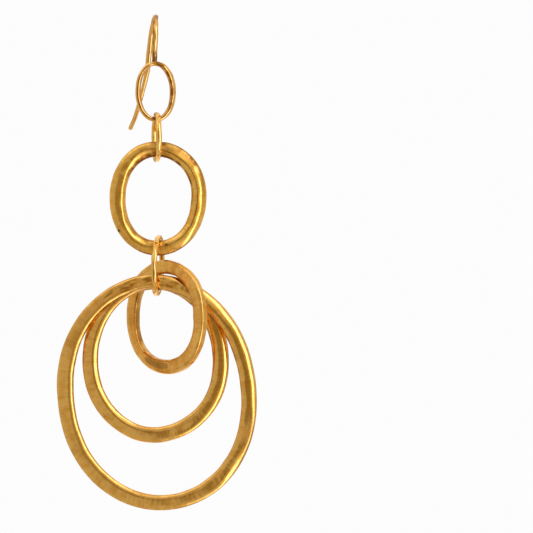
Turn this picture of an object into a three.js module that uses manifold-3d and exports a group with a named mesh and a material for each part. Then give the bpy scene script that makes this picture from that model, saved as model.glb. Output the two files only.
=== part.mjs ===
// Oval hoop earring for a pierced ear: a hook with a small oval soldered under it, and below
// that a jump ring, an oval link, a second jump ring and three interlocked oval hoops.
//
// Millimetres. +Z is up, +X is to the wearer's left as seen from the front, and the front
// faces -Y. The origin is the inside top of the hook's arch, where the ear lobe carries it.
import * as THREE from 'three';
import { mergeVertices } from 'three/addons/utils/BufferGeometryUtils.js';
import Module from 'manifold-3d';

const wasm = await Module();
wasm.setup();

// ---------------------------------------------------------------- driving dimensions
const WIRE = 0.8;            // diameter of the hook and of the small oval soldered to it
const RING_WIRE = 0.86;      // diameter of both jump rings' wire
const SEAT_GAP = 0.16;       // clearance where one ring hangs in the next
const STACK_GAP = 0.25;      // clearance between the large and medium hoops, face to face
const OVAL_POWER = 2.06;     // the ovals are a touch fuller than ellipses (power 2)
const CHAIN_Y = -2.3;        // the drop hangs a little in front of the arch's top

// Every ring is a band bent into an oval: outer width and height, the band's radial depth,
// its thickness front to back, and the radius that softens the band's four edges.
const SMALL_OVAL = { width: 7.05, height: 10.5, band: WIRE, thick: WIRE, edge: 0.38, sides: 40, arc: 2 };
const UPPER_RING = { width: 8.9, height: 8.9, band: RING_WIRE, thick: RING_WIRE, edge: 0.41, sides: 40, arc: 2 };
const LINK = { width: 16.75, height: 19.75, band: 2.65, thick: 1.5, edge: 0.6, sides: 64, arc: 3 };
const LOWER_RING = { width: 10.7, height: 10.7, band: RING_WIRE, thick: RING_WIRE, edge: 0.41, sides: 44, arc: 2 };
const LARGE_HOOP = { width: 34.5, height: 40.6, band: 2.5, thick: 1.4, edge: 0.46, sides: 72, arc: 2 };
const MEDIUM_HOOP = { width: 25.15, height: 28.9, band: 2.5, thick: 1.4, edge: 0.46, sides: 64, arc: 2 };
const SMALL_HOOP = { width: 18.6, height: 19.6, band: 2.3, thick: 1.4, edge: 0.46, sides: 64, arc: 2 };

// How far each ring is turned about Z, leant sideways (about Y) and pitched (about X), in
// degrees, and how far its centre sits to the side of the arch.
const SMALL_OVAL_POSE = { side: 0.16, turn: 0, lean: 0, pitch: 0 };
const UPPER_RING_POSE = { side: 0.3, turn: 97.6, lean: 0, pitch: 0 };
const LINK_POSE = { side: 0.5, turn: -1.5, lean: 0, pitch: 0 };
const LOWER_RING_POSE = { side: 0.5, turn: 84, lean: 0, pitch: 2 };
const LARGE_POSE = { side: 0.4, turn: -3, lean: -6.8, pitch: 0 };
const MEDIUM_POSE = { side: 0.1, turn: -3, lean: -0.5, pitch: 0 };
const SMALL_POSE = { side: 2.08, turn: -43.5, lean: 0, pitch: 0 };

// ---------------------------------------------------------------- levels down the drop
const OVAL_TOP = -7.45;
const ovalCentre = OVAL_TOP - SMALL_OVAL.height / 2;
const ovalSeat = OVAL_TOP - SMALL_OVAL.height + WIRE;
const upperTop = ovalSeat + SEAT_GAP + RING_WIRE;
const upperCentre = upperTop - UPPER_RING.height / 2;
const upperSeat = upperTop - UPPER_RING.height + RING_WIRE;
const linkCentre = upperSeat + SEAT_GAP + LINK.band - LINK.height / 2;
const linkSeat = linkCentre - LINK.height / 2 + LINK.band;
const lowerTop = linkSeat + SEAT_GAP + RING_WIRE;
const lowerCentre = lowerTop - LOWER_RING.height / 2;
const lowerSeat = lowerTop - LOWER_RING.height + RING_WIRE;

// The large and medium hoops stand side by side in the lower ring's curved bottom, so their
// edges clear it a little above its lowest point. The large one leans, which lifts it a bit
// more. The small hoop straddles both of them.
const HOOP_CLEARANCE = 0.34;
const LEAN_LIFT = 0.12;
const largeSeat = lowerSeat + HOOP_CLEARANCE + LEAN_LIFT;
const largeCentre = largeSeat + LARGE_HOOP.band - LARGE_HOOP.height / 2;
const mediumCentre = lowerSeat + HOOP_CLEARANCE + MEDIUM_HOOP.band - MEDIUM_HOOP.height / 2;
const STRADDLE_CLEARANCE = 0.4;
const SMALL_HOOP_BACK = 0.3;
const smallTop = lowerSeat + HOOP_CLEARANCE + LARGE_HOOP.band + STRADDLE_CLEARANCE + SMALL_HOOP.band;
const smallCentre = smallTop - SMALL_HOOP.height / 2;
const stackOffset = (LARGE_HOOP.thick + STACK_GAP) / 2;

// The hook's centre line from the solder joint, out over the lobe and down to its free end:
// `side` is +X, `back` is +Y, `up` is +Z.
const HOOK_ROUTE = [
  { side: -0.08, back: -2.3, up: -7.75 },
  { side: -0.02, back: -2.95, up: -6.2 },
  { side: 0.22, back: -4.1, up: -4.1 },
  { side: 0.28, back: -3.9, up: -1.9 },
  { side: 0.08, back: -2.2, up: -0.15 },
  { side: 0, back: 0, up: WIRE / 2 },
  { side: -0.4, back: 2.3, up: -0.25 },
  { side: -0.85, back: 4.0, up: -2.3 },
  { side: -1.25, back: 4.4, up: -5.1 },
  { side: -1.65, back: 4.5, up: -9.0 },
  { side: -2.35, back: 5.1, up: -12.0 },
  { side: -3.05, back: 6.0, up: -14.5 },
  { side: -3.8, back: 7.3, up: -16.7 },
  { side: -4.65, back: 8.8, up: -18.55 },
];
const HOOK_STEPS = 64;
const HOOK_SIDES = 10;
const SOLDER = { neck: 0.41, foot: 0.54, height: 0.7 };

// ---------------------------------------------------------------- materials
const gold = (name, color, roughness) =>
  new THREE.MeshStandardMaterial({ name, color, roughness, metalness: 1 });
const WIRE_GOLD = gold('polished_wire', 0xdba449, 0.22);
const LINK_GOLD = gold('polished_link', 0xc9933a, 0.26);
const HOOP_GOLD = gold('satin_hoop', 0xc08d3f, 0.36);

// ---------------------------------------------------------------- shapes
const radians = THREE.MathUtils.degToRad;

/** Points of an oval |x/a|^p + |y/b|^p = 1, counter-clockwise. */
function ovalPoints(halfWidth, halfHeight, count) {
  const points = [];
  for (let i = 0; i < count; i += 1) {
    const angle = (2 * Math.PI * i) / count;
    const x = Math.cos(angle);
    const y = Math.sin(angle);
    const reach = (Math.abs(x) ** OVAL_POWER + Math.abs(y) ** OVAL_POWER) ** (-1 / OVAL_POWER);
    points.push(new THREE.Vector2(halfWidth * reach * x, halfHeight * reach * y));
  }
  return points;
}

/** A band bent into a closed oval, standing in the XZ plane with its middle at the origin. */
function ovalBand({ width, height, band, thick, edge, sides, arc }) {
  const shape = new THREE.Shape(ovalPoints(width / 2, height / 2, sides));
  shape.holes.push(new THREE.Path(ovalPoints(width / 2 - band, height / 2 - band, sides)));
  const geometry = new THREE.ExtrudeGeometry(shape, {
    depth: thick - 2 * edge,
    bevelEnabled: true,
    bevelThickness: edge,
    bevelSize: edge,
    bevelOffset: -edge,
    bevelSegments: arc,
  });
  geometry.translate(0, 0, edge - thick / 2);
  return geometry.rotateX(Math.PI / 2);
}

/** A round wire along a smooth curve through the route's points. */
function wireAlong(route, diameter) {
  const curve = new THREE.CatmullRomCurve3(
    route.map(({ side, back, up }) => new THREE.Vector3(side, back, up)), false, 'centripetal');
  const section = new THREE.Shape();
  for (let i = 0; i < HOOK_SIDES; i += 1) {
    const angle = (2 * Math.PI * i) / HOOK_SIDES;
    const place = [Math.cos(angle) * diameter / 2, Math.sin(angle) * diameter / 2];
    if (i === 0) section.moveTo(...place);
    else section.lineTo(...place);
  }
  section.closePath();
  return new THREE.ExtrudeGeometry(section, { steps: HOOK_STEPS, extrudePath: curve, bevelEnabled: false });
}

// ---------------------------------------------------------------- joining solids
function toSolid(geometry) {
  const bare = geometry.clone();
  bare.deleteAttribute('normal');
  bare.deleteAttribute('uv');
  const merged = mergeVertices(bare, 1e-5);
  return new wasm.Manifold(new wasm.Mesh({
    numProp: 3,
    vertProperties: new Float32Array(merged.attributes.position.array),
    triVerts: new Uint32Array(merged.index.array),
  }));
}

function toGeometry(solid) {
  const { vertProperties, triVerts, numProp } = solid.getMesh();
  const positions = [];
  for (let i = 0; i < vertProperties.length; i += numProp) {
    positions.push(vertProperties[i], vertProperties[i + 1], vertProperties[i + 2]);
  }
  const geometry = new THREE.BufferGeometry();
  geometry.setAttribute('position', new THREE.Float32BufferAttribute(positions, 3));
  geometry.setIndex([...triVerts]);
  geometry.computeVertexNormals();
  return geometry;
}

// ---------------------------------------------------------------- pieces
/** The bent hook, its rounded free end, the small oval and the solder between them. */
function earWireGeometry() {
  const tip = HOOK_ROUTE[HOOK_ROUTE.length - 1];
  const end = new THREE.SphereGeometry(WIRE / 2, 12, 8);
  end.translate(tip.side, tip.back, tip.up);

  const { side } = SMALL_OVAL_POSE;
  const oval = ovalBand(SMALL_OVAL);
  oval.translate(side, CHAIN_Y, ovalCentre);

  const solder = new THREE.CylinderGeometry(SOLDER.neck, SOLDER.foot, SOLDER.height, 16);
  solder.rotateX(Math.PI / 2);
  solder.translate(side / 2, CHAIN_Y, OVAL_TOP + SOLDER.height / 2 - WIRE / 2);

  return toGeometry(toSolid(wireAlong(HOOK_ROUTE, WIRE))
    .add(toSolid(end))
    .add(toSolid(oval))
    .add(toSolid(solder)));
}

function addPiece(parent, name, geometry, material) {
  const mesh = new THREE.Mesh(geometry, material);
  mesh.name = name;
  parent.add(mesh);
  return mesh;
}

function addRing(parent, name, size, pose, back, up, material) {
  const mesh = addPiece(parent, name, ovalBand(size), material);
  mesh.position.set(pose.side, CHAIN_Y + back, up);
  mesh.rotation.set(radians(pose.pitch), radians(pose.lean), radians(pose.turn), 'ZXY');
}

const earring = new THREE.Group();
addPiece(earring, 'ear_wire', earWireGeometry(), WIRE_GOLD);
addRing(earring, 'upper_jump_ring', UPPER_RING, UPPER_RING_POSE, 0, upperCentre, WIRE_GOLD);
addRing(earring, 'oval_link', LINK, LINK_POSE, 0, linkCentre, LINK_GOLD);
addRing(earring, 'lower_jump_ring', LOWER_RING, LOWER_RING_POSE, 0, lowerCentre, WIRE_GOLD);
addRing(earring, 'large_hoop', LARGE_HOOP, LARGE_POSE, -stackOffset, largeCentre, HOOP_GOLD);
addRing(earring, 'medium_hoop', MEDIUM_HOOP, MEDIUM_POSE, stackOffset, mediumCentre, HOOP_GOLD);
addRing(earring, 'small_hoop', SMALL_HOOP, SMALL_POSE, SMALL_HOOP_BACK, smallCentre, HOOP_GOLD);

export default earring;
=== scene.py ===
"""Oval hoop earring: the finish of every piece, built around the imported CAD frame.

Metres, +Z up, the front of the earring faces -Y. Each ring takes its place, axes and size
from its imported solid, and is swept again with the small unevenness of a hand-made one.
"""
import math

import bpy
import numpy as np
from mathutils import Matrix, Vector
from mathutils.kdtree import KDTree


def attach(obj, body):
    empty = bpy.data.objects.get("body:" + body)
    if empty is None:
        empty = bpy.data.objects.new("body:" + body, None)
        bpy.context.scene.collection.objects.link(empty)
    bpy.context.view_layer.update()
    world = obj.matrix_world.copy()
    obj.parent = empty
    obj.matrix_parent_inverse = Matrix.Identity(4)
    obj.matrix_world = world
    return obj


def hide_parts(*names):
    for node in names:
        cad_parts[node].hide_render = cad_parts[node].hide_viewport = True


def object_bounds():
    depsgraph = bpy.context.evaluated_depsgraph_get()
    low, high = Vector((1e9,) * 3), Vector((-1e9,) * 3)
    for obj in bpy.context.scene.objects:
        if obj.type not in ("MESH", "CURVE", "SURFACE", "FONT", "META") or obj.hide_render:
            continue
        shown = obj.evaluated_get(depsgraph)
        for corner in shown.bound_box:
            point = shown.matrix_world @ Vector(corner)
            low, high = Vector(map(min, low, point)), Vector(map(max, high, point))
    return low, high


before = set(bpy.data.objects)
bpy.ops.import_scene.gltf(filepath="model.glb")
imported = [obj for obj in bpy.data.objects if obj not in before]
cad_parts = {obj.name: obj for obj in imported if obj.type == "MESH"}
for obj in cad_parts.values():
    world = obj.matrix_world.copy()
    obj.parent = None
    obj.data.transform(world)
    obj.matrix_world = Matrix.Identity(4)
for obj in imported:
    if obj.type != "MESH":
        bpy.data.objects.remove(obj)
cad_low, cad_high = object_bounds()

MM = 0.001
TAU = 2 * math.pi

# ---------------------------------------------------------------- driving values
OVAL_POWER = 2.06            # the ovals are a touch fuller than ellipses, as in the CAD model


def steady(value):
    """A clock table that is the same all the way round."""
    return [(0, value), (180, value)]


# Every table below goes round a ring by the clock: degrees anticlockwise from twelve, as the
# front shows it. Lengths are in millimetres. `outer` moves the rim out, `inner` moves the
# inside edge in, `lean` tips the front face outwards in degrees, and `full` is the power of
# the section's superellipse: 2 is an ellipse, higher is flatter. `crest` is the height of
# the ridge where two hammered facets of the front meet, and `crest_at` its place across the
# band, from -1 at the inside edge to 1 at the rim. Past `bevel_at` the front falls away to
# the rim by `bevel` degrees more. A wire has `wide` and `deep`, its thickness across the ring
# and front to back.
LARGE_HOOP = {
    "outer": [(0, 0.06), (15, -0.15), (30, -0.28), (45, -0.2), (60, -0.03), (75, 0.06), (90, 0.07),
              (105, 0.17), (120, 0.24), (135, 0.22), (150, 0.17), (180, 0.17), (210, 0.18),
              (225, 0.16), (240, 0.06), (255, -0.03), (270, -0.12), (300, -0.1), (330, -0.05),
              (345, 0)],
    "inner": [(0, -0.2), (15, 0.08), (30, 0.12), (60, 0.25), (75, 0.3), (90, 0.28), (105, 0.18),
              (120, 0.09), (150, 0.07), (180, -0.03), (195, 0.02), (240, 0.08), (255, 0.22),
              (270, 0.33), (285, 0.35), (310, 0.3), (330, 0.28), (345, 0.1)],
    "lean": [(0, 0), (15, 2), (30, 3), (60, 0), (90, 3), (120, -1), (150, 0), (180, 1), (200, -1),
             (211, -2), (220, 2.5), (233, 2), (244, -1), (254, 3.5), (280, 6), (305, 11),
             (335, 5)],
    "full": [(0, 2.7), (30, 3.8), (50, 3.8), (75, 3.8), (100, 3.8), (150, 3.6), (180, 3.6),
             (200, 4), (211, 4), (219, 3), (233, 3), (244, 3.8), (256, 2.7), (270, 2.4),
             (320, 2.4)],
    "crest": [(0, 0), (40, 0.05), (90, 0.1), (120, 0.09), (160, 0.07), (200, 0.03), (230, 0),
              (320, 0)],
    "crest_at": [(0, -0.4), (90, -0.45), (120, -0.4), (180, -0.45), (270, -0.2)],
}
MEDIUM_HOOP = {
    "outer": [(0, 0), (15, 0.02), (30, -0.15), (60, 0), (90, 0.15), (105, 0.22), (120, 0.22),
              (150, 0.1), (165, 0.18), (180, 0.16), (195, 0), (210, 0), (225, 0.06), (240, 0.18),
              (255, 0.17), (280, 0.05), (315, -0.12), (340, -0.05)],
    "inner": [(0, 0.03), (45, 0.1), (75, 0.11), (90, 0.04), (105, 0.03), (120, 0.02), (135, 0.08),
              (165, 0.03), (180, 0.08), (195, 0.22), (210, 0.24), (225, 0.12), (240, 0.02),
              (255, 0.08), (270, 0.2), (285, 0.28), (315, 0.23), (330, 0.22), (345, 0.12)],
    "lean": [(0, 3), (30, 1), (60, -1), (90, -1), (140, -1.5), (170, 2), (190, -2), (205, -6),
             (218, -3), (240, 3), (270, 4), (315, 4)],
    "full": [(0, 2.8), (30, 4.4), (60, 4), (90, 4), (150, 3.6), (190, 3.6), (210, 3.4), (245, 2.5),
             (270, 2.4), (320, 2.4)],
    "crest": [(0, 0), (50, 0.1), (90, 0.17), (150, 0.15), (180, 0.05), (210, 0), (320, 0)],
    "crest_at": [(0, -0.35), (90, -0.32), (150, -0.36), (270, -0.2)],
}
SMALL_HOOP = {
    "outer": [(0, -0.05), (30, -0.05), (45, 0.16), (75, 0.24), (90, 0.24), (120, 0.24), (135, 0.2),
              (150, 0.17), (165, 0.17), (180, 0.24), (195, 0.27), (215, 0.34), (240, 0.18),
              (270, 0), (300, 0), (315, 0), (330, -0.16), (345, -0.2)],
    "inner": [(0, 0.18), (25, 0.04), (60, -0.18), (90, -0.25), (105, -0.38), (120, -0.55),
              (135, -0.5), (150, -0.32), (165, -0.12), (180, -0.02), (210, -0.13), (225, -0.14),
              (240, -0.11), (255, 0), (270, 0.23), (285, 0.18), (310, 0.2), (328, 0.26),
              (340, 0.22), (352, 0.2)],
    "lean": [(0, 0), (180, 0), (295, 0), (315, 4), (332, 5), (345, 1)],
    "full": [(0, 4.2), (90, 4.6), (180, 4.8), (240, 4.8), (270, 4.6), (300, 3.5), (320, 2.7),
             (338, 2.9)],
    "crest_at": [(0, 0.3), (190, 0.5), (215, 0.7), (300, 0.66), (330, 0.5)],
}
LINK = {
    "outer": [(0, 0), (15, 0.1), (30, 0.13), (45, 0.1), (60, 0.05), (90, 0), (150, -0.04),
              (180, -0.05), (210, -0.1), (225, -0.1), (250, -0.06), (270, 0.05), (285, 0.14),
              (300, 0.15), (315, 0.11), (330, 0.05), (345, 0.04)],
    "inner": [(0, -0.05), (30, -0.05), (60, 0.04), (75, 0.1), (90, 0.12), (105, 0.11), (120, 0.04),
              (150, -0.06), (180, 0), (225, -0.05), (270, -0.04), (285, -0.18), (300, -0.18),
              (315, -0.14), (330, -0.03)],
    "lean": [(0, 0), (15, -8), (45, -11), (75, -10.5), (95, -10.5), (125, -11.5), (158, -10),
             (168, 1), (180, 3), (205, 2), (240, 1), (270, 2), (300, 5), (325, 8), (345, 3)],
    "full": [(0, 2.3), (45, 2.5), (90, 2.4), (125, 2.4), (180, 2.4), (197, 3.2), (213, 3.2),
             (230, 2.6), (270, 2.6), (298, 2.8), (312, 3.3), (332, 3.4), (348, 2.5)],
    "crest": [(0, 0.1), (12, 0.1), (30, 0.16), (90, 0.18), (150, 0.16), (165, 0.05), (180, 0.04),
              (195, 0.12), (220, 0.22), (270, 0.24), (300, 0.18), (320, 0.13), (345, 0.12)],
    "crest_at": [(0, 0.02), (15, 0.1), (30, 0.04), (45, -0.18), (60, -0.4), (78, -0.52),
                 (95, -0.5), (110, -0.36), (125, -0.14), (140, -0.04), (158, -0.04), (180, -0.2),
                 (230, -0.2), (270, -0.16), (310, -0.2), (345, -0.2)],
    "bevel": [(0, 0), (214, 0), (228, 14), (242, 22), (270, 24), (285, 20), (297, 5), (308, 0),
              (345, 0)],
    "bevel_at": [(0, 0.3), (215, 0.4), (270, 0.38), (290, 0.3), (305, 0.16), (325, 0.08),
                 (345, 0)],
}

DARK_LINE_WIDTH = 0.09          # the dark line painted along a ridge, part tarnish, part painted dark reflection, against half the band
CREST_SOFT = 0.06            # how rounded the ridge between a band's two facets is
FACET_END = 0.92             # where those facets run out, against half the band
FACET_CUT = 0.95             # how deep they are cut, against the height of the ridge
BAND_DENTS = 0.009           # how uneven the hammering leaves a band, in millimetres
RIPPLES = 0.002              # the finer unevenness of bands and wires, in millimetres
WALL_FADE = 0.2              # over how much of half a band its inside tarnish and painted shade comes in
RIM_FADE = (0.84, 0.98)      # where the tarnish and painted shade of its rim does
FACE_FADE = (0.55, 0.78)     # where the matte middle of its front ends
LINE_FADE = (0, 0.3)         # where a line on one face comes in, from the sides to that face
WIRE_INSIDE = 0.35           # the tarnish and painted shade on the inside of every wire ring
KNOCK_SOFT = 0.9             # how soft the edge of a knock is
RAGGED = 0.12                # how ragged the ends of a mark are, against its length
BAND_REACH = 1.25            # half the breadth across which marks are placed, in millimetres
WIRE_REACH = 0.45            # the same for a wire

# The small oval under the hook is a deeper wire, turned a little, thicker down its right side.
SMALL_OVAL_SIZE = (7.0, 10.5)
SMALL_OVAL_CENTRE = (0.12, -2.3, -12.7)
SMALL_OVAL_TURN = 8
SMALL_OVAL = {
    "wide": [(0, 0.8), (90, 0.86), (150, 0.83), (180, 0.82), (210, 0.84), (270, 1.04), (320, 1.0)],
    "deep": steady(0.95),
    "lean": [(0, 10), (40, 24), (90, 28), (140, 22), (180, 8), (220, 20), (270, 27), (320, 22)],
    "full": [(0, 2.3), (90, 2.5), (180, 2.3), (270, 2.5)],
}
# The jump rings are flattened wire, wider seen edge on than it is thick.
JUMP_RING = {
    "wide": steady(0.76),
    "deep": [(0, 0.9), (90, 0.98), (180, 0.9), (270, 0.98)],
    "lean": steady(0),
    "full": steady(2.1),
}

# The hook's centre line, from the solder joint over the lobe to the free end, and the width
# and depth of its hammered wire at each point.
HOOK_ROUTE = [
    (-0.1, -2.3, -7.6, 0.86, 0.8), (-0.04, -2.95, -6.2, 0.94, 0.8), (0.05, -4.1, -4.1, 1.0, 0.8),
    (0.1, -3.9, -1.9, 1.02, 0.78), (0.04, -2.2, -0.15, 1.0, 0.78), (0, 0, 0.4, 0.92, 0.78),
    (-0.36, 2.3, -0.25, 0.88, 0.8), (-0.84, 4.0, -2.3, 0.86, 0.8), (-1.2, 4.4, -5.1, 0.94, 0.8),
    (-1.62, 4.5, -9.0, 0.9, 0.8), (-2.35, 5.1, -12.0, 0.78, 0.78), (-3.05, 6.0, -14.5, 0.76, 0.76),
    (-3.8, 7.3, -16.7, 0.74, 0.74), (-4.65, 8.8, -18.55, 0.74, 0.74),
]
HOOK_FULL = 2.25             # how flat the faces of the hook's wire are
HOOK_TWIST = 9               # how far those faces turn along it, in degrees
HOOK_WIRE = 0.8              # the usual thickness of its wire
HOOK_TIP_ROWS = 12           # steps in its rounded free end
HOOK_TIP_LEAST = 0.03        # how thin the last of them is, against the wire
# How uneven the hook's wire is, in millimetres, and by millimetres from the solder joint: how
# that unevenness fades, how dark the wire is painted all round, darkest at the joint and darker
# again near the top of the bend, and how dark the line up its front leg is, part tarnish and part
# painted dark reflection, with that line's place across the wire's face and its width.
HOOK_DENTS, HOOK_CALM = 0.015, [(0, 1), (12, 1), (20, 0.25)]
HOOK_DARKENING = [(0, 1), (0.8, 0.9), (1.5, 0.6), (2.4, 0.12), (3.4, 0.05), (4.5, 0.2), (5.2, 0.02),
                (7.0, 0.1), (8.0, 0.5), (9.5, 0.75), (10.8, 0.6), (12, 0.3), (15, 0.08),
                (60, 0.05)]
HOOK_LINE = [(0, 0.5), (1.5, 0.9), (2.5, 0.4), (3.6, 0.8), (4.2, 0.3), (5.5, 0.9), (7.5, 0.8),
             (8.5, 0)]
HOOK_LINE_AT, HOOK_LINE_WIDTH = 0.42, 0.22

BAKE_PAD = 0.012             # clear space round each row of the second UV map
BAND_LAYERS = ("blush_and_warm_reflection", "matte", "worked", "patch")     # painted on the bands only

# What the gold's own two shades give way to.
BLUSH_AND_WARM_REFLECTION = (0.72, 0.32, 0.045)      # redder metal, and painted warm reflection of the gold beside it
PATCH = (0.16, 0.08, 0.016)      # the brown patch
SCRATCH = (0.4, 0.17, 0.025)     # the dark in fine tool marks
# tarnish, also painted as shade where the rings crowd together and in painted dark lines
TARNISH_AND_SHADE = (0.24, 0.085, 0.008)
# How high the fine relief stands, in millimetres.
GRAIN_HEIGHT, LINE_HEIGHT, SPECK_DEPTH = 0.00013, 0.0006, 0.006

CAMERA_DISTANCE = 600 * MM
FRAME_WIDTH = 92.2 * MM      # what the frame holds across, at the plane the rings hang in
AIM = Vector((19.29, -2.3, -42.95)) * MM    # the middle of the pair that the earring is one of
SENSOR = 36                  # millimetres
CAMERA_CLIP = (0.01, 10)

WHITE = 0.98                 # the paper behind, as the camera sees it
PAPER = (0.918, 0.98, 0.99)  # the floor, a little cool to balance the warm tent
KEY_TINT = (0.87, 0.94, 1.4)     # the key is cooler than the tent, so its glints are paler
# The tent's colour, channel by channel: its tint, what is left of that round the camera, at
# the two sides and round the key, and how strong it is in the window.
TENT = (("Red", 1.0, 0.52, 0.46, 1.0, 0.4),
        ("Green", 0.92, 0.44, 0.37, 0.93, 0.46),
        ("Blue", 0.86, 0.27, 0.2, 0.5, 0.75))
FLOOR_RADIUS, FLOOR_SIDES = 0.3, 96
FLOOR_DROP = 0.03            # how far the floor lies below the earring
FLOOR_FADE = (0.05, 0.29)    # between these distances from its middle it thins out to nothing


# ---------------------------------------------------------------- shape helpers
def add_object(name, data):
    obj = bpy.data.objects.new(name, data)
    bpy.context.scene.collection.objects.link(obj)
    return obj


def vertices_of(obj):
    co = np.zeros(len(obj.data.vertices) * 3)
    obj.data.vertices.foreach_get("co", co)
    return co.reshape(-1, 3)


def ring_frame(node):
    """Centre, axes and outer sizes of a flat ring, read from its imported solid."""
    co = vertices_of(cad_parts[node])
    co = np.unique(np.round(co, 8), axis=0)
    middle = co.mean(0)
    _, axes = np.linalg.eigh(np.cov((co - middle).T))
    front = axes[:, 0] * (-1 if axes[1, 0] > 0 else 1)
    up = max((axes[:, 1], axes[:, 2]), key=lambda a: abs(a[2]))
    up = up * (1 if up[2] > 0 else -1)
    across = np.cross(front, up)
    if across[0] < 0 and abs(across[0]) > abs(across[1]):
        across = -across
    places = (co - middle) @ np.stack([across, up, front]).T
    low, high = places.min(0), places.max(0)
    centre = middle + (low + high) / 2 @ np.stack([across, up, front])
    half = (high - low) / 2
    inner = np.hypot(*(places - (low + high) / 2)[:, :2].T).min()
    return {"centre": centre, "across": across, "up": up, "front": front,
            "half": half, "band": min(half[0], half[1]) - inner}


def oval(half_width, half_height, clock):
    """Points of an oval at each clock angle: across and up from its middle."""
    x, y = -np.sin(np.radians(clock)), np.cos(np.radians(clock))
    reach = (np.abs(x) ** OVAL_POWER + np.abs(y) ** OVAL_POWER) ** (-1 / OVAL_POWER)
    return np.stack([half_width * reach * x, half_height * reach * y], -1)


def by_clock(table, clock):
    """A smooth closed curve through (degrees, value) rows, read at each clock angle."""
    at = np.array([row[0] for row in table], float)
    value = np.array([row[1] for row in table], float)
    at = np.concatenate([at - 360, at, at + 360])
    value = np.tile(value, 3)
    slope = np.gradient(value, at)
    where = np.mod(clock, 360)
    k = np.clip(np.searchsorted(at, where, side="right") - 1, 0, len(at) - 2)
    step = at[k + 1] - at[k]
    s = (where - at[k]) / step
    return ((2 * s**3 - 3 * s**2 + 1) * value[k] + (s**3 - 2 * s**2 + s) * step * slope[k]
            + (3 * s**2 - 2 * s**3) * value[k + 1] + (s**3 - s**2) * step * slope[k + 1])


def section(powers, count, aspect):
    """Superellipse sections, -1 to 1 both ways, one row of `count` points for each power."""
    choice = np.linspace(2, 5, 31)              # worked out at every tenth
    fine = np.linspace(0, TAU, 3001)
    rows = []
    for power in choice:
        r = np.sign(np.cos(fine)) * np.abs(np.cos(fine)) ** (2 / power)
        d = np.sign(np.sin(fine)) * np.abs(np.sin(fine)) ** (2 / power)
        length = np.concatenate([[0], np.cumsum(np.hypot(np.diff(r), np.diff(d) * aspect))])
        even = np.linspace(0, length[-1], count, endpoint=False)
        rows.append(np.stack([np.interp(even, length, r), np.interp(even, length, d)], -1))
    rows = np.array(rows)
    place = np.clip((np.asarray(powers) - 2) / 0.1, 0, len(choice) - 1.001)
    k = place.astype(int)
    share = (place - k)[:, None, None]
    return rows[k] * (1 - share) + rows[k + 1] * share


def wobble(clock, seed, harmonics, size):
    """A smooth closed variation round a ring, about `size` at its largest."""
    rng = np.random.default_rng(seed)
    total = sum(rng.normal() / k ** 0.5 * np.cos(k * np.radians(clock) + rng.uniform(0, TAU))
                for k in range(*harmonics))
    return total / np.abs(total).max() * size


def dents(u, v, seed, waves, along, around, size):
    """Shallow unevenness over a closed band: u and v run 0 to 1 along and round it."""
    rng = np.random.default_rng(seed)
    total = np.zeros(np.broadcast(u, v).shape)
    for _ in range(waves):
        m = rng.integers(along[0], along[1] + 1)
        n = rng.integers(-around, around + 1)
        total += np.cos(TAU * (m * u + n * v) + rng.uniform(0, TAU))
    return total / math.sqrt(waves / 2) * size


def ease(value, low, high):
    s = np.clip((value - low) / (high - low), 0, 1)
    return s * s * (3 - 2 * s)


def unit(rows):
    return rows / np.linalg.norm(rows, axis=1)[:, None]


def length_along(line):
    """How far along a line of points each point lies."""
    return np.concatenate([[0], np.cumsum(np.linalg.norm(np.diff(line, axis=0), axis=1))])


def turned(out, deep, angle):
    """Section points turned by an angle at each step along the metal."""
    c, s = np.cos(angle)[:, None], np.sin(angle)[:, None]
    return out * c - deep * s, out * s + deep * c


def ring_points(f, middle, radial, out, deep):
    """Points in space whose section reaches `out` from a ring's middle line and `deep` forward."""
    flat = middle[:, None, :] + radial[:, None, :] * out[..., None]
    return (f["centre"] + flat[..., :1] * f["across"] + flat[..., 1:] * f["up"]
            + deep[..., None] * f["front"])


def catmull(p, t, w):
    """The point at `w` on a smooth curve through the rows of `p`, which it passes at `t`."""
    k = min(max(np.searchsorted(t, w, side="right") - 1, 1), len(t) - 3)
    t0, t1, t2, t3 = t[k - 1:k + 3]
    p0, p1, p2, p3 = p[k - 1:k + 3]
    a1 = (t1 - w) / (t1 - t0) * p0 + (w - t0) / (t1 - t0) * p1
    a2 = (t2 - w) / (t2 - t1) * p1 + (w - t1) / (t2 - t1) * p2
    a3 = (t3 - w) / (t3 - t2) * p2 + (w - t2) / (t3 - t2) * p3
    b1 = (t2 - w) / (t2 - t0) * a1 + (w - t0) / (t2 - t0) * a2
    b2 = (t3 - w) / (t3 - t1) * a2 + (w - t1) / (t3 - t1) * a3
    return (t2 - w) / (t2 - t1) * b1 + (w - t1) / (t2 - t1) * b2


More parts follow.
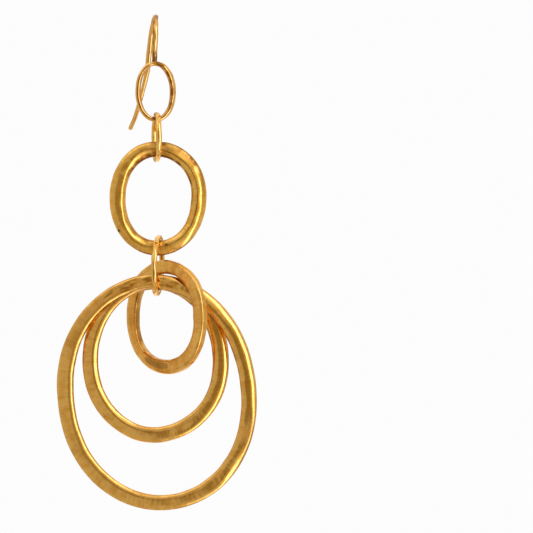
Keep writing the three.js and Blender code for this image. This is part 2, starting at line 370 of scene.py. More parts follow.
def grid_mesh(name, points, along, around, closed, rows, shelf=(0, 1)):
    """A mesh from a grid of points, closed round its section and, if asked, on itself.

    It carries two UV maps: "sweep", in millimetres along and round the metal, and "OFBake",
    where the metal lies in a few stacked rows, between the two heights of `shelf`.
    """
    steps, sides = points.shape[:2]
    i, j = np.meshgrid(np.arange(steps if closed else steps - 1), np.arange(sides), indexing="ij")
    i2, j2 = (i + 1) % steps, (j + 1) % sides
    corner = lambda a, b: (a * sides + b).reshape(-1)
    quads = np.stack([corner(i, j), corner(i2, j), corner(i2, j2), corner(i, j2)], -1)
    ci = np.stack([i, i + 1, i + 1, i], -1).reshape(-1, 4)
    cj = np.stack([j, j, j + 1, j + 1], -1).reshape(-1, 4)

    middle = points.mean(1)
    if closed:
        along = np.append(along, along[-1] + np.linalg.norm(middle[0] - middle[-1]))
    around = np.append(around, around[-1] + (around[-1] - around[-2]))
    sweep = np.stack([along[ci], around[cj]], -1) / MM

    per_row = math.ceil(quads.shape[0] / sides / rows)
    row = np.repeat(i.reshape(-1) // per_row, 4).reshape(-1, 4)
    bake_u = BAKE_PAD + (1 - 2 * BAKE_PAD) * (ci - row * per_row) / per_row
    height = (shelf[1] - shelf[0]) / rows
    bake_v = shelf[0] + height * row + BAKE_PAD + (height - 2 * BAKE_PAD) * cj / sides
    bake = np.stack([bake_u, bake_v], -1)

    flat = points.reshape(-1, 3)
    p0, p1, p2 = (flat[quads[:, k]] for k in (0, 1, 2))
    if np.einsum("ij,ij->i", p0 - flat.mean(0), np.cross(p1 - p0, p2 - p0)).sum() < 0:
        quads, sweep, bake = quads[:, ::-1], sweep[:, ::-1], bake[:, ::-1]

    mesh = bpy.data.meshes.new(name)
    faces = [tuple(q) for q in quads.tolist()]
    if not closed:                      # a fan closes each end of an open wire
        ends = (tuple(range(sides)), tuple(range((steps - 1) * sides, steps * sides)))
        outward = quads[0][1] - quads[0][0] == sides
        faces += [ends[0][::-1] if outward else ends[0], ends[1] if outward else ends[1][::-1]]
    mesh.from_pydata(flat.tolist(), [], faces)
    loops = sum(len(f) for f in faces)
    for layer_name, values in (("sweep", sweep), ("OFBake", bake)):
        values = values.reshape(-1, 2)
        spare = np.repeat(values[-1:], loops - len(values), 0)
        layer = mesh.uv_layers.new(name=layer_name)
        layer.data.foreach_set("uv", np.vstack([values, spare]).ravel())
    mesh.polygons.foreach_set("use_smooth", np.ones(len(faces), bool))
    mesh.update()
    return mesh


def paint(mesh, name, values):
    """A number at every vertex, which the materials read by its name."""
    layer = mesh.attributes.new(name, "FLOAT", "POINT")
    layer.data.foreach_set("value", np.clip(values, 0, 1).astype(np.float32).ravel())


def paint_wire(mesh, tarnish_and_shade):
    """A wire has its tarnish and painted shade alone, and the layers of the bands are there but
    empty.
    """
    paint(mesh, "tarnish_and_shade", tarnish_and_shade)
    for layer in BAND_LAYERS:
        paint(mesh, layer, np.zeros_like(tarnish_and_shade))


def read_paint(mesh, name):
    values = np.zeros(len(mesh.vertices), np.float32)
    mesh.attributes[name].data.foreach_get("value", values)
    return values


def put(mesh, name, body, nodes, material):
    """A finished piece, which rides on its body and stands for its CAD solid."""
    obj = add_object(name, mesh)
    mesh.materials.append(material)
    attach(obj, body)
    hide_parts(*nodes)
    return obj


def mark_shape(clock, length_at, x, front, mark, reach, seed):
    """How strongly each vertex lies in one mark, from 0 to 1.

    A mark is (clock, x, length, breadth, softness): x runs from -1 at the inside edge to 1
    at the rim, which is taken to be `reach` from the middle. A breadth of 0 takes the mark
    right round the section.
    """
    at, place, long, broad, soft = mark
    total = length_at[-1] + (length_at[1] - length_at[0])
    degrees = np.mod(clock, 360)
    order = np.argsort(degrees)
    away = length_at - np.interp(at % 360, degrees[order], length_at[order])
    away = (away + total / 2) % total - total / 2
    rng = np.random.default_rng(seed)
    ragged = RAGGED * long * min(1, soft * 2) * np.sin(x * rng.uniform(4, 9) + rng.uniform(0, TAU))
    far = np.abs(away[:, None] + ragged) / (long / 2)
    if broad:
        power = 2 if soft > 0.2 else 3.5        # a crisp mark is squarer
        across = np.abs(x - place) * reach / (broad / 2)
        far = (far ** power + across ** power) ** (1 / power)
    inside = 1 - ease(far, 1 - soft, 1 + soft)
    return inside * (ease(front, -0.1, 0.2) if broad else 1)


def band(node, shape, material, *, steps, sides, seed, seam, rows, wall, rim, dark_line,
         marks, knocks=(), wander=2, facing=0.2, dull=0, wall_from=0.8):
    """A hoop or link: a hammered bar bent into an oval, a little uneven all round.

    `wall`, `rim` and `dark_line` are clock tables of the tarnish and painted shade on its inside
    edge, from `wall_from` inwards, and on its outside edge, and of the dark line painted along its
    ridge, part tarnish and part painted dark reflection; `dull` is a thin tarnish all over.
    `marks` are painted patches, each (layer, strength, *mark), and `knocks` are shallow hollows,
    each (clock, x, length, breadth, depth). The front strays from its lean by `wander` degrees,
    and
    `facing` is how matte its middle is. `seam` is the clock angle where the sweep starts and ends,
    and `rows` the number of rows in its second UV map.
    """
    f = ring_frame(node)
    half_w, half_h, half_t = f["half"]
    u = np.arange(steps) / steps
    clock = seam + 360 * u
    outer = oval(half_w, half_h, clock)
    inner = oval(half_w - f["band"], half_h - f["band"], clock)
    radial = unit(outer - inner)
    outer = outer + radial * by_clock(shape["outer"], clock)[:, None] * MM
    inner = inner - radial * by_clock(shape["inner"], clock)[:, None] * MM
    middle = (outer + inner) / 2
    half_band = np.linalg.norm(outer - inner, axis=1) / 2
    length_at = length_along(middle)

    form = section(by_clock(shape["full"], clock), sides, half_t / half_band.mean())
    x, front = form[..., 0], form[..., 1]
    v = np.arange(sides) / sides
    lift = dents(u[:, None], v[None, :], seed, waves=40, along=(3, 26), around=2,
                 size=BAND_DENTS * MM)
    lift += dents(u[:, None], v[None, :], seed + 1, waves=80, along=(30, 130), around=3,
                  size=RIPPLES * MM)
    for k, (at, place, long, wide, depth) in enumerate(knocks):
        lift -= depth * MM * mark_shape(clock, length_at / MM, x, front,
                                        (at, place, long, wide, KNOCK_SOFT), BAND_REACH,
                                        seed + k)
    crest, crest_at, bevel, bevel_at = (
        by_clock(shape.get(key, steady(0)), clock)[:, None]
        for key in ("crest", "crest_at", "bevel", "bevel_at"))
    crest = np.maximum(crest, 0) * MM
    from_crest = np.hypot(x - crest_at, CREST_SOFT) - CREST_SOFT
    run = np.where(x > crest_at, FACET_END - crest_at, FACET_END + crest_at)
    roof = np.clip(1 - from_crest / run, 0, 1) * crest
    past = (x - bevel_at + np.hypot(x - bevel_at, CREST_SOFT)) / 2
    fall = np.tan(np.radians(np.maximum(bevel, 0))) * past * half_band[:, None]
    out = x * (half_band[:, None] + lift)
    cut = np.where(front > 0, roof - crest * FACET_CUT - fall, 0)    # the front alone is faceted
    deep = front * (half_t + lift + cut)
    turn = -np.radians(by_clock(shape["lean"], clock) + wobble(clock, seed + 7, (4, 15), wander))
    out, deep = turned(out, deep, turn)
    points = ring_points(f, middle, radial, out, deep)

    girth = np.linalg.norm(np.roll(points, -1, 1) - points, axis=2).mean(0)
    around = np.concatenate([[0], np.cumsum(girth)[:-1]])
    mesh = grid_mesh(node + "_metal", points, length_at, around, True, rows)
    # Tarnish and painted shade: the inside edge and the rim are darkened where shade and orange
    # reflections between the rings fall, and the dark line along the ridge is part tarnish, part
    # painted dark reflection.
    tarnish_and_shade = ease(-x, wall_from, wall_from + WALL_FADE) * by_clock(wall, clock)[:, None]
    tarnish_and_shade = tarnish_and_shade + ease(x, *RIM_FADE) * by_clock(rim, clock)[:, None] + dull
    line_mask = np.exp(-((x - crest_at) / DARK_LINE_WIDTH) ** 2)
    tarnish_and_shade += by_clock(dark_line, clock)[:, None] * line_mask * ease(front, *LINE_FADE)
    layers = {"tarnish_and_shade": tarnish_and_shade, **{layer: np.zeros_like(x) for layer in BAND_LAYERS}}
    layers["matte"] += facing * (1 - ease(np.abs(x), *FACE_FADE))
    for k, (layer, strength, *mark) in enumerate(marks):
        layers[layer] += strength * mark_shape(clock, length_at / MM, x, front, mark,
                                               BAND_REACH, seed + 50 + k)
    for layer, values in layers.items():
        paint(mesh, layer, values)
    put(mesh, node + "_metal", node, [node], material)


def wire_ring(name, f, half_w, half_h, shape, *, steps, sides, seed, seam, rows, tarnish_and_shade,
              dark_line, marks=(), shelf=(0, 1), twist=3, wave=0, rough=0.01):
    """A closed ring of hammered wire, shaped by clock tables as the bands are.

    `dark_line` is a line painted dark along the wire, part tarnish and part painted dark
    reflection: the face it is on, its width, and clock tables of its place across that face and of
    its strength. `twist` is how far its faces turn, in degrees, `wave` how far the ring strays
    from flat and `rough` how uneven its wire is, in millimetres. `marks` are tarnished spots, each
    (strength, *mark).
    """
    u = np.arange(steps) / steps
    clock = seam + 360 * u
    wide, deep = (by_clock(shape[key], clock)[:, None] * MM for key in ("wide", "deep"))
    edge = oval(half_w, half_h, clock)
    tangent = unit(np.roll(edge, -1, 0) - np.roll(edge, 1, 0))
    radial = np.stack([tangent[:, 1], -tangent[:, 0]], 1)
    radial *= np.sign((radial * edge).sum(1))[:, None]
    middle = edge - radial * wide / 2
    v = np.arange(sides) / sides
    lift = dents(u[:, None], v[None, :], seed, waves=30, along=(2, 14), around=2,
                 size=rough * MM)
    lift += dents(u[:, None], v[None, :], seed + 1, waves=40, along=(12, 26), around=1,
                  size=RIPPLES * MM)
    form = section(by_clock(shape["full"], clock), sides, 1.0)
    x, front = form[..., 0], form[..., 1]
    turn = -np.radians(by_clock(shape["lean"], clock) + wobble(clock, seed + 7, (3, 11), twist))
    out, depth = turned(x * (wide / 2 + lift), front * (deep / 2 + lift), turn)
    depth = depth + wobble(clock, seed + 9, (3, 9), wave * MM)[:, None]
    points = ring_points(f, middle, radial, out, depth)
    length_at = length_along(middle)
    mesh = grid_mesh(name, points, length_at, v * math.pi * wide.mean(), True, rows, shelf)
    # Tarnish and painted shade: darker on the inside of the ring, and a dark line along it that is
    # part tarnish, part painted dark reflection.
    level = by_clock(tarnish_and_shade, clock)[:, None] + WIRE_INSIDE * ease(-x, 0.75, 1)
    for k, (strength, *mark) in enumerate(marks):
        level = level + strength * mark_shape(clock, length_at / MM, x, front, mark,
                                              WIRE_REACH, seed + 50 + k)
    face, width, place, strength = dark_line
    up_face, across = (x, front) if face == "rim" else (front, x)
    from_dark_line = across - by_clock(place, clock)[:, None]
    line_mask = np.exp(-(from_dark_line / width) ** 2) * ease(up_face, *LINE_FADE)
    paint_wire(mesh, level + by_clock(strength, clock)[:, None] * line_mask)
    return mesh


def hook_mesh(name, *, steps, sides, seed, rows, shelf):
    """The bent wire of the hook, with a rounded free end."""
    route = np.array(HOOK_ROUTE) * MM
    gaps = np.linalg.norm(np.diff(route[:, :3], axis=0), axis=1) ** 0.5
    knots = np.concatenate([[0], np.cumsum(gaps)])
    p = np.vstack([2 * route[0] - route[1], route, 2 * route[-1] - route[-2]])
    t = np.concatenate([[-knots[1]], knots, [2 * knots[-1] - knots[-2]]])
    line = np.array([catmull(p, t, w) for w in np.linspace(knots[0], knots[-1], steps)])
    length = length_along(line[:, :3])
    even = np.linspace(0, length[-1], steps)
    line = np.stack([np.interp(even, length, line[:, k]) for k in range(5)], 1)
    tangent = unit(np.gradient(line[:, :3], axis=0))
    depth_way = unit(np.cross(tangent, [1, 0, 0]))
    width_way = np.cross(tangent, depth_way)
    cap = HOOK_TIP_ROWS
    for k in range(cap):
        a = math.pi / 2 * (k + 1) / cap
        row = line[steps - 1].copy()
        row[:3] += tangent[-1] * line[steps - 1, 3] / 2 * math.sin(a)
        row[3:] *= max(math.cos(a), HOOK_TIP_LEAST)
        line = np.vstack([line, row])
    depth_way = np.vstack([depth_way, np.repeat(depth_way[-1:], cap, 0)])
    width_way = np.vstack([width_way, np.repeat(width_way[-1:], cap, 0)])
    v = np.arange(sides) / sides
    u = np.linspace(0, 1, len(line))
    lift = dents(u[:, None], v[None, :], seed, waves=40, along=(4, 18), around=1,
                 size=HOOK_DENTS * MM)
    from_joint = np.linspace(0, length[-1], len(line)) / MM
    lift *= np.interp(from_joint, *zip(*HOOK_CALM))[:, None]
    lift[-cap - 4:] *= np.linspace(1, 0, cap + 4)[:, None]      # the tip is smooth
    form = section(np.full(len(line), HOOK_FULL), sides, 1.0)
    roll = np.radians(wobble(360 * u, seed + 2, (2, 12), HOOK_TWIST))
    roll[-cap:] = roll[-cap]
    wide, deep = turned(form[..., 0] * (line[:, 3:4] / 2 + lift),
                        form[..., 1] * (line[:, 4:5] / 2 + lift), roll)
    points = (line[:, None, :3] + width_way[:, None, :] * wide[..., None]
              + depth_way[:, None, :] * deep[..., None])
    along = length_along(line[:, :3])
    mesh = grid_mesh(name, points, along, v * math.pi * HOOK_WIRE * MM, False, rows, shelf)
    # Painted darkening: dark at the solder joint and near the top of the bend, and a dark line up
    # the front leg that is part tarnish, part painted dark reflection.
    level = np.interp(along / MM, *zip(*HOOK_DARKENING))[:, None] * np.ones(sides)[None, :]
    from_line = (form[..., 0] - HOOK_LINE_AT) / HOOK_LINE_WIDTH
    line_mask = np.exp(-from_line ** 2) * ease(-form[..., 1], *LINE_FADE)
    paint_wire(mesh, level + np.interp(along / MM, *zip(*HOOK_LINE))[:, None] * line_mask)
    return mesh


# ---------------------------------------------------------------- materials
def gold(name, clean, deep, roughness, satin, marks, mottle):
    """Old gilded brass: soft mottling, tool marks, fine grain, specks, painted tarnish with
    painted shade, and painted warm reflection.

    `clean` and `deep` are its two shades, `satin` is how much rougher it is where the piece
    is painted matte, `marks` the height in millimetres of the tool marks across the band,
    and `mottle` how strongly its shade and polish vary.
    """
    material = bpy.data.materials.new(name)
    material.use_nodes = True
    nodes, links = material.node_tree.nodes, material.node_tree.links
    shader = nodes["Principled BSDF"]

    def add(kind, inputs=(), **settings):
        made = nodes.new(kind)
        for key, value in settings.items():
            setattr(made, key, value)
        for key, value in dict(inputs).items():
            if isinstance(value, bpy.types.NodeSocket):
                links.new(value, made.inputs[key])
            else:
                made.inputs[key].default_value = value
        return made

    def maths(operation, a, b, clamp=False):
        return add("ShaderNodeMath", {0: a, 1: b}, operation=operation,
                   use_clamp=clamp).outputs[0]

    def spread(value, low, high, to_low=0.0, to_high=1.0):
        return add("ShaderNodeMapRange", {"Value": value, "From Min": low, "From Max": high,
                                          "To Min": to_low, "To Max": to_high},
                   interpolation_type="SMOOTHSTEP").outputs["Result"]

    def noise(vector, scale, detail, rough=0.5):
        return add("ShaderNodeTexNoise", {"Vector": vector, "Scale": scale, "Detail": detail,
                                          "Roughness": rough}).outputs["Fac"]

    def layer(title):
        return add("ShaderNodeAttribute", attribute_name=title).outputs["Fac"]

    def scaled(vector, size):
        return add("ShaderNodeVectorMath", {0: vector, 1: size},
                   operation="MULTIPLY").outputs["Vector"]

    def blend(factor, a, b):
        made = add("ShaderNodeMix", data_type="RGBA")
        links.new(factor, made.inputs["Factor"])
        for socket, value in ((made.inputs[6], a), (made.inputs[7], b)):
            if isinstance(value, bpy.types.NodeSocket):
                links.new(value, socket)
            else:
                socket.default_value = (*value, 1)
        return made.outputs[2]

    # Places are in millimetres: `place` in space, `sweep` along and round the metal.
    place = scaled(add("ShaderNodeTexCoord").outputs["Object"], (1000, 1000, 1000))
    sweep = add("ShaderNodeUVMap", uv_map="sweep").outputs["UV"]
    clouds = noise(place, 0.3, 3)
    blotch = noise(place, 0.8, 2)
    grain = noise(place, 9, 1)
    ticks = noise(scaled(sweep, (2.2, 0.22, 1)), 1, 4, 0.6)
    furrows = noise(scaled(sweep, (1.7, 0.3, 1)), 1, 1)
    lines = noise(scaled(sweep, (0.16, 4.2, 1)), 1, 1)
    cell = add("ShaderNodeTexVoronoi", {"Vector": place, "Scale": 1.1}).outputs["Distance"]
    specks = maths("MULTIPLY", spread(cell, 0.03, 0.13, 1, 0), spread(blotch, 0.47, 0.58))

    # The painted layer carries real tarnish together with painted shade and painted dark
    # reflection.
    tarnish_and_shade = maths("MULTIPLY", layer("tarnish_and_shade"), spread(blotch, 0.3, 0.62, 0.6, 1.25))
    tarnish_and_shade = maths("ADD", tarnish_and_shade, maths("MULTIPLY", specks, 0.8))
    tarnish_and_shade = maths("ADD", tarnish_and_shade, spread(clouds, 0.5, 0.85, 0, 0.3 * mottle), clamp=True)
    shade = blend(spread(blotch, 0.38, 0.66, 0, mottle), clean, deep)
    # The blush layer paints redder metal at a seam, and elsewhere a painted warm reflection of the
    # gold nearby.
    shade = blend(maths("MULTIPLY", layer("blush_and_warm_reflection"), spread(clouds, 0.3, 0.6, 0.6, 1)),
                  shade, BLUSH_AND_WARM_REFLECTION)
    shade = blend(maths("MULTIPLY", layer("patch"), 0.5), shade, PATCH)
    shade = blend(spread(ticks, 0.46, 0.7, 0, 0.25 * mottle), shade, SCRATCH)
    links.new(blend(tarnish_and_shade, shade, TARNISH_AND_SHADE), shader.inputs["Base Color"])

    worn = maths("MULTIPLY", layer("matte"), satin)
    worn = maths("ADD", worn, maths("MULTIPLY", layer("patch"), 0.1))
    worn = maths("ADD", worn, maths("MULTIPLY", tarnish_and_shade, 0.25))
    worn = maths("ADD", worn, spread(blotch, 0.35, 0.65, -0.025, 0.035))
    worn = maths("ADD", worn, spread(lines, 0.4, 0.7, -0.015, 0.025))
    links.new(maths("ADD", worn, roughness, clamp=True), shader.inputs["Roughness"])

    worked = maths("ADD", maths("MULTIPLY", layer("worked"), 2.2), 1)
    height = maths("MULTIPLY", maths("MULTIPLY", furrows, worked), marks * MM)
    height = maths("ADD", height, maths("MULTIPLY", grain, GRAIN_HEIGHT * MM))
    height = maths("ADD", height, maths("MULTIPLY", lines, LINE_HEIGHT * MM))
    height = maths("SUBTRACT", height, maths("MULTIPLY", specks, SPECK_DEPTH * MM))
    bump = add("ShaderNodeBump", {"Height": height, "Distance": 1.0, "Strength": 1.0})
    links.new(bump.outputs["Normal"], shader.inputs["Normal"])
    shader.inputs["Metallic"].default_value = 1
    shader.inputs["Coat Weight"].default_value = 0.06      # what is left of old lacquer
    shader.inputs["Coat Roughness"].default_value = 0.12
    return material


WIRE_GOLD = gold("polished_wire", (0.98, 0.6, 0.18), (0.92, 0.5, 0.12),
                 roughness=0.05, satin=0, marks=0.001, mottle=0.6)
LINK_GOLD = gold("polished_link", (1.0, 0.6, 0.13), (0.93, 0.5, 0.08),
                 roughness=0.055, satin=0.12, marks=0.003, mottle=0.9)
RING_GOLD = gold("polished_ring", (0.99, 0.63, 0.18), (0.94, 0.52, 0.1),
                 roughness=0.04, satin=0, marks=0.001, mottle=0.5)
HOOP_GOLD = gold("satin_hoop", (0.96, 0.565, 0.135), (0.85, 0.45, 0.08),
                 roughness=0.065, satin=0.22, marks=0.0032, mottle=0.85)

# ---------------------------------------------------------------- pieces
band("large_hoop", LARGE_HOOP, HOOP_GOLD,
     steps=960, sides=88, seed=11, seam=2, rows=4,
     dark_line=[(0, 0), (50, 0.2), (90, 0.3), (150, 0.3), (190, 0.1), (230, 0)],
     # The blush marks are painted warm reflection, on the top of the hoop and at 30; the tarnish
     # mark at 238 is painted shade that dims a bright patch near the rim.
     marks=[("worked", 0.8, 95, 0.2, 14, 3, 0.6), ("worked", 1, 262, 0, 46, 3, 0.5),
            ("blush_and_warm_reflection", 0.3, 30, 0.3, 16, 2, 0.8), ("worked", 1, 0, 0, 14, 3, 0.5),
            ("matte", 0.5, 90, 0.2, 46, 2.2, 0.7), ("matte", 1, 246, 0.6, 4, 1.6, 0.7),
            ("tarnish_and_shade", 0.25, 238, 0.7, 9, 0.9, 0.7), ("blush_and_warm_reflection", 0.5, 7, -0.1, 5, 1.2, 0.8),
            ("blush_and_warm_reflection", 0.5, 354, 0, 5, 1.2, 0.8), ("blush_and_warm_reflection", 0.7, 345, -0.3, 4, 0.9, 0.8),
            ("blush_and_warm_reflection", 0.5, 14, -0.4, 4, 0.7, 0.8)],
     wall=[(0, 0.5), (30, 0.9), (70, 0.6), (100, 0.3), (200, 0.3), (270, 0.4), (290, 0.9),
           (330, 0.9)],
     rim=[(0, 0.7), (40, 0.4), (90, 0.3), (150, 0.45), (180, 0.5), (230, 0.3), (270, 0.15),
          (310, 0.15), (340, 0.5)],
     knocks=[(8, -0.1, 3.2, 1.2, 0.12), (353, 0.0, 3.4, 1.1, 0.1), (20, 0.2, 2.4, 1.1, 0.07),
             (228, 0.75, 8, 1.0, 0.06), (11, -0.3, 2.0, 0.8, 0.07), (5, 0.15, 1.4, 0.9, 0.09),
             (355, 0.2, 1.6, 0.9, 0.1), (348, -0.1, 1.8, 1.0, 0.09), (341, -0.3, 1.8, 1.0, 0.08)])

band("medium_hoop", MEDIUM_HOOP, HOOP_GOLD,
     steps=760, sides=80, seed=23, seam=171, rows=4,
     dark_line=[(0, 0), (60, 0.3), (150, 0.35), (180, 0.2), (240, 0.1), (300, 0)],
     # The tarnish marks from 168 to 176 are the seam and the stains beside it; the one at 30 is
     # painted shade that dims the bright inner facet.
     marks=[("tarnish_and_shade", 0.8, 170.8, -0.45, 0.22, 1.8, 0.8),
            ("tarnish_and_shade", 0.2, 168, -0.35, 3.4, 1.1, 0.6), ("tarnish_and_shade", 0.16, 176, 0.1, 4, 1.3, 0.7),
            ("tarnish_and_shade", 0.35, 30, -0.62, 6, 0.8, 0.7), ("worked", 0.9, 186, 0.2, 16, 3, 0.6),
            ("worked", 0.8, 255, -0.2, 30, 3, 0.6)],
     wall=[(0, 0.6), (60, 0.35), (120, 0.25), (200, 0.25), (260, 0.6), (285, 1), (310, 1)],
     rim=[(0, 0.6), (30, 0.95), (75, 0.9), (110, 0.3), (250, 0.25), (280, 0.9), (320, 0.95)])

band("small_hoop", SMALL_HOOP, HOOP_GOLD,
     steps=600, sides=84, seed=37, seam=343, rows=4, facing=1, wander=1, dull=0.05,
     rim=[(0, 0.5), (30, 0.4), (60, 0.1), (180, 0.2), (215, 0.15), (245, 0.1), (320, 0.05),
          (345, 0.3)],
     dark_line=[(0, 0), (180, 0), (212, 0.4), (250, 0.3), (270, 0.15), (290, 0.3), (315, 0.1),
             (335, 0)],
     # The blush at 343 is redder metal at the seam; the one at 80 is painted warm reflection of
     # the medium hoop beside it.
     marks=[("patch", 1, 165.5, -0.13, 6.0, 1.15, 0.04), ("blush_and_warm_reflection", 1, 343, 0, 1.1, 0, 0.8),
            ("blush_and_warm_reflection", 0.8, 80, -0.2, 14, 1.7, 0.7), ("tarnish_and_shade", 0.4, 62, -0.85, 4, 0.5, 0.6),
            ("tarnish_and_shade", 0.25, 84, -0.82, 6, 0.35, 0.5)],
     wall=[(0, 0.9), (20, 0.6), (60, 0.35), (120, 0.5), (180, 0.4), (270, 0.5), (310, 0.9),
           (340, 1)])

band("oval_link", LINK, LINK_GOLD,
     steps=600, sides=84, seed=41, seam=178, rows=4, wall_from=0.66,
     rim=[(0, 0.6), (30, 0.35), (60, 0), (140, 0.1), (165, 0.6), (195, 0.6), (222, 0.1), (315, 0),
          (345, 0.5)],
     dark_line=[(0, 0.25), (25, 0), (175, 0), (200, 0.4), (225, 0.8), (280, 0.7), (300, 0.3),
             (325, 0.6), (340, 0.7), (355, 0.3)],
     # The tarnish marks at 185 and 354 are painted shadow of the jump rings beside them, and those
     # at 27 and 147 are painted shade that dims the bright inner facet.
     marks=[("tarnish_and_shade", 0.9, 193, -0.35, 0.5, 0.4, 0.6),
            ("tarnish_and_shade", 0.8, 125, 0.92, 0.5, 0.4, 0.6), ("worked", 1, 200, -0.1, 10, 2.2, 0.7),
            ("worked", 0.6, 100, 0.1, 26, 2, 0.7), ("worked", 1, 265, 0.2, 24, 2.4, 0.6),
            ("matte", 1, 268, 0.45, 30, 1.8, 0.6), ("matte", 0.9, 82, 0.25, 22, 1.5, 0.8),
            ("tarnish_and_shade", 0.25, 185, 0.2, 3.5, 3, 0.7), ("tarnish_and_shade", 0.8, 27, -0.68, 7, 0.95, 0.5),
            ("tarnish_and_shade", 0.45, 147, -0.68, 8, 0.9, 0.5), ("tarnish_and_shade", 0.5, 303, 0.68, 8, 0.8, 0.7),
            ("tarnish_and_shade", 0.25, 148, 0.8, 7, 0.6, 0.7), ("tarnish_and_shade", 0.3, 326, 0.72, 9, 0.9, 0.6),
            ("tarnish_and_shade", 0.6, 211, 0.75, 4.5, 0.8, 0.6), ("tarnish_and_shade", 0.5, 354, 0.2, 3, 3, 0.7)],
     wall=[(0, 0.95), (25, 0.9), (42, 0.5), (55, 0.05), (90, 0), (150, 0.1), (180, 0.5),
           (210, 0.35), (250, 0.25), (275, 0.5), (290, 0.7), (305, 0.6), (325, 0.9), (340, 1)])

# A dark line painted round the jump rings' rims: painted dark reflection of the dark surroundings
# on the round wire.
RIM_LINE = ("rim", 0.2, steady(0.1),
            [(0, 0), (50, 0.3), (75, 1), (104, 0.9), (124, 0.2), (250, 0.2), (270, 0.9),
             (290, 0.5), (320, 0)])
for node, seed, twist, rough, cap in (("upper_jump_ring", 51, 8, 0.01, 0.85),
                                      ("lower_jump_ring", 61, 14, 0.03, 0.1)):
    f = ring_frame(node)
    thinner = 2 * f["half"][2] - JUMP_RING["wide"][0][1] * MM     # the inside stays on its seat
    half_w, half_h = f["half"][:2] - thinner
    mesh = wire_ring(node + "_wire", f, half_w, half_h, JUMP_RING, steps=300, sides=40,
                     seed=seed, seam=90, rows=3, twist=twist, wave=0.05, rough=rough,
                     dark_line=RIM_LINE, tarnish_and_shade=[(0, cap), (30, 0.1), (180, 0.1), (330, 0.1)])
    put(mesh, node + "_wire", node, [node], RING_GOLD)


def ear_wire():
    """The hook and the small oval, made one solid where they are soldered together."""
    w, h = SMALL_OVAL_SIZE
    turn = math.radians(SMALL_OVAL_TURN)
    f = {"centre": np.array(SMALL_OVAL_CENTRE) * MM,
         "across": np.array([math.cos(turn), math.sin(turn), 0]), "up": np.array([0, 0, 1.0]),
         "front": np.array([math.sin(turn), -math.cos(turn), 0])}
    ring = wire_ring("small_oval", f, w / 2 * MM, h / 2 * MM, SMALL_OVAL, steps=380, sides=40,
                     seed=71, seam=90, rows=4, shelf=(0.56, 0.92),
                     tarnish_and_shade=[(0, 0.3), (15, 0.1), (30, 0), (150, 0.05), (180, 0.35), (210, 0.1),
                              (240, 0.05), (330, 0.05), (350, 0.2)],
                     marks=[(0.9, 344, 0.1, 1.7, 0.4, 0.5), (0.9, 359, 0.7, 1.3, 0.5, 0.7),
                            (0.8, 268, 0.75, 0.5, 0.3, 0.6), (0.7, 303, 0.8, 0.5, 0.3, 0.6)],
                     # The dark line down the oval's front is part tarnish, part painted dark
                     # reflection.
                     dark_line=("front", 0.32, [(0, -0.5), (90, -0.2), (180, -0.3), (270, -0.62)],
                             [(0, 0.5), (30, 0.85), (90, 0.95), (150, 0.9), (180, 0.6),
                              (230, 0.85), (270, 1.1), (320, 1.05), (345, 0.8)]))
    hook = hook_mesh("ear_wire_gold", steps=460, sides=36, seed=81, rows=6, shelf=(0, 0.54))
    obj = put(hook, "ear_wire_gold", "ear_wire", ["ear_wire"], WIRE_GOLD)
    other = add_object("small_oval", ring)
    union = obj.modifiers.new("solder", "BOOLEAN")
    union.operation, union.solver, union.object = "UNION", "EXACT", other
    bpy.context.view_layer.update()
    joined = bpy.data.meshes.new_from_object(obj.evaluated_get(
        bpy.context.evaluated_depsgraph_get()))
    obj.modifiers.clear()

    # The union mixes up the paint, so each vertex takes it again from where it came from.
    places = np.vstack([vertices_of(obj), vertices_of(other)])
    levels = np.concatenate([read_paint(obj.data, "tarnish_and_shade"), read_paint(ring, "tarnish_and_shade")])
    tree = KDTree(len(places))
    for k, place in enumerate(places):
        tree.insert(place, k)
    tree.balance()
    old = obj.data
    obj.data = joined
    nearest = [tree.find(vertex.co)[1] for vertex in joined.vertices]
    for layer in ("tarnish_and_shade", *BAND_LAYERS):
        if layer in joined.attributes:
            joined.attributes.remove(joined.attributes[layer])
    paint_wire(joined, levels[nearest])
    bpy.data.meshes.remove(old)
    bpy.data.objects.remove(other)


ear_wire()


# ---------------------------------------------------------------- studio
def toward(azimuth, elevation):
    """The direction of a place round the earring; azimuth 0 is at the camera, positive right."""
    a, e = math.radians(azimuth), math.radians(elevation)
    return (math.sin(a) * math.cos(e), -math.cos(a) * math.cos(e), math.sin(e))


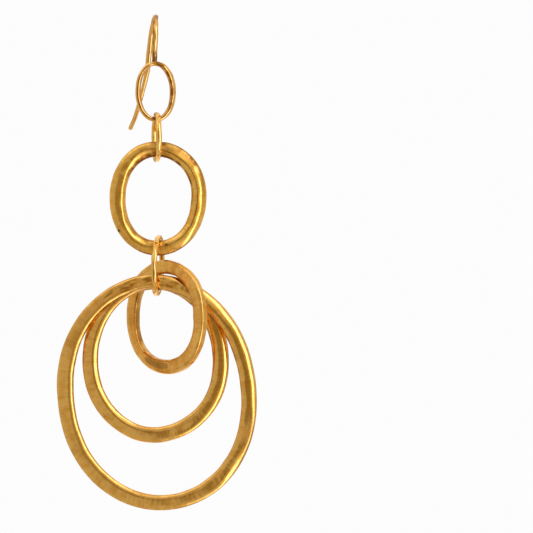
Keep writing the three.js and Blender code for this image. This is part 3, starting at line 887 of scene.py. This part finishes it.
def studio_world():
    """A white tent, darker round the camera; the camera itself sees plain white paper."""
    world = bpy.data.worlds.new("studio")
    bpy.context.scene.world = world
    world.use_nodes = True
    nodes, links = world.node_tree.nodes, world.node_tree.links
    nodes.clear()

    def node(kind, **values):
        made = nodes.new(kind)
        for key, value in values.items():
            setattr(made, key, value)
        return made

    place = node("ShaderNodeTexCoord")

    def lobe(direction, inner, outer, low, high):
        """From `low`, more than `outer` degrees from `direction`, to `high` within `inner`."""
        dot = node("ShaderNodeVectorMath", operation="DOT_PRODUCT")
        links.new(place.outputs["Generated"], dot.inputs[0])
        dot.inputs[1].default_value = Vector(direction).normalized()
        spread = node("ShaderNodeMapRange", interpolation_type="SMOOTHSTEP")
        spread.inputs["From Min"].default_value = math.cos(math.radians(outer))
        spread.inputs["From Max"].default_value = math.cos(math.radians(inner))
        spread.inputs["To Min"].default_value = low
        spread.inputs["To Max"].default_value = high
        links.new(dot.outputs["Value"], spread.inputs["Value"])
        return spread.outputs["Result"]

    def combine(operation, a, b):
        made = node("ShaderNodeMath", operation=operation)
        links.new(a, made.inputs[0])
        if isinstance(b, bpy.types.NodeSocket):
            links.new(b, made.inputs[1])
        else:
            made.inputs[1].default_value = b
        return made.outputs[0]

    tent = combine("ADD", lobe((0, 0, 1), 10, 80, 0.64, 0.84), lobe((0, 1, 0), 0, 100, 0.0, 0.4))
    tent = combine("MULTIPLY", tent, lobe((0, -1, 0), 20, 75, 1.0, 0.87))
    tent = combine("ADD", tent, lobe(toward(20, -34), 6, 22, 0, 0.7))      # the key's two ends
    tent = combine("ADD", tent, lobe(toward(20, 36), 6, 22, 0, 0.6))
    glow = lobe(toward(-38, 50), 8, 32, 0, 1.0)                            # a window, up left
    colour = node("ShaderNodeCombineColor")
    for channel, tint, front, side, halo, window in TENT:
        at_camera = lobe((0.03, -1, 0.02), 5, 16, tint, tint * front)
        sides = combine("MULTIPLY", lobe(toward(-145, 0), 16, 34, 1.0, side),
                        lobe(toward(145, 0), 16, 34, 1.0, side))
        shaded = combine("MULTIPLY", at_camera, sides)
        shaded = combine("MULTIPLY", shaded, lobe(toward(36, 0), 20, 34, 1.0, halo))
        lit = combine("ADD", tent, combine("MULTIPLY", glow, window))
        links.new(combine("MULTIPLY", lit, shaded), colour.inputs[channel])
    seen = node("ShaderNodeLightPath")
    pick = node("ShaderNodeMix", data_type="RGBA")
    links.new(seen.outputs["Is Camera Ray"], pick.inputs["Factor"])
    links.new(colour.outputs["Color"], pick.inputs[6])
    pick.inputs[7].default_value = (WHITE, WHITE, WHITE, 1)
    background = node("ShaderNodeBackground")
    links.new(pick.outputs[2], background.inputs["Color"])
    out = node("ShaderNodeOutputWorld")
    links.new(background.outputs["Background"], out.inputs["Surface"])


def panel(name, azimuth, elevation, distance, size, radiance):
    """A soft box that faces the earring."""
    light = bpy.data.lights.new(name, "AREA")
    light.shape = "RECTANGLE"
    light.size, light.size_y = size
    light.energy = radiance * math.pi * size[0] * size[1]
    light.color = KEY_TINT
    obj = add_object(name, light)
    way = Vector(toward(azimuth, elevation))
    centre = (cad_low + cad_high) / 2
    obj.location = centre + way * distance
    obj.rotation_euler = (-way).to_track_quat("-Z", "Y").to_euler()
    obj.visible_camera = False


studio_world()
panel("key", azimuth=38, elevation=0, distance=0.5, size=(0.24, 1.7), radiance=1.9)

# The floor is a round sheet of pale paper that thins out to nothing towards its edge.
floor_mesh = bpy.data.meshes.new("floor")
turns = [TAU * k / FLOOR_SIDES for k in range(FLOOR_SIDES)]
corners = [(FLOOR_RADIUS * math.cos(a), FLOOR_RADIUS * math.sin(a), 0) for a in turns]
floor_mesh.from_pydata(corners, [], [tuple(range(FLOOR_SIDES))])
floor = add_object("floor", floor_mesh)
floor.location = (0, 0, cad_low.z - FLOOR_DROP)
paper = bpy.data.materials.new("paper")
paper.use_nodes = True
paper_shader = paper.node_tree.nodes["Principled BSDF"]
paper_shader.inputs["Base Color"].default_value = (*PAPER, 1)
paper_shader.inputs["Roughness"].default_value = 0.9
spot = paper.node_tree.nodes.new("ShaderNodeTexCoord")
reach = paper.node_tree.nodes.new("ShaderNodeVectorMath")
reach.operation = "LENGTH"
fade = paper.node_tree.nodes.new("ShaderNodeMapRange")
fade.interpolation_type = "SMOOTHSTEP"
fade.inputs["From Min"].default_value, fade.inputs["From Max"].default_value = FLOOR_FADE
fade.inputs["To Min"].default_value, fade.inputs["To Max"].default_value = 1, 0
paper.node_tree.links.new(spot.outputs["Object"], reach.inputs[0])
paper.node_tree.links.new(reach.outputs["Value"], fade.inputs["Value"])
paper.node_tree.links.new(fade.outputs["Result"], paper_shader.inputs["Alpha"])
floor_mesh.materials.append(paper)
floor.visible_glossy = False        # nothing lies under the earring in the photograph
floor.visible_shadow = False

camera_data = bpy.data.cameras.new("camera")
camera_data.sensor_width = SENSOR
camera_data.lens = SENSOR * CAMERA_DISTANCE / FRAME_WIDTH
camera_data.clip_start, camera_data.clip_end = CAMERA_CLIP
camera = add_object("camera", camera_data)
camera.location = AIM - Vector((0, CAMERA_DISTANCE, 0))
camera.rotation_euler = (math.pi / 2, 0, 0)
bpy.context.scene.camera = camera

bpy.context.scene.view_settings.view_transform = "Standard"
bpy.context.scene.view_settings.look = "None"

bpy.context.view_layer.update()
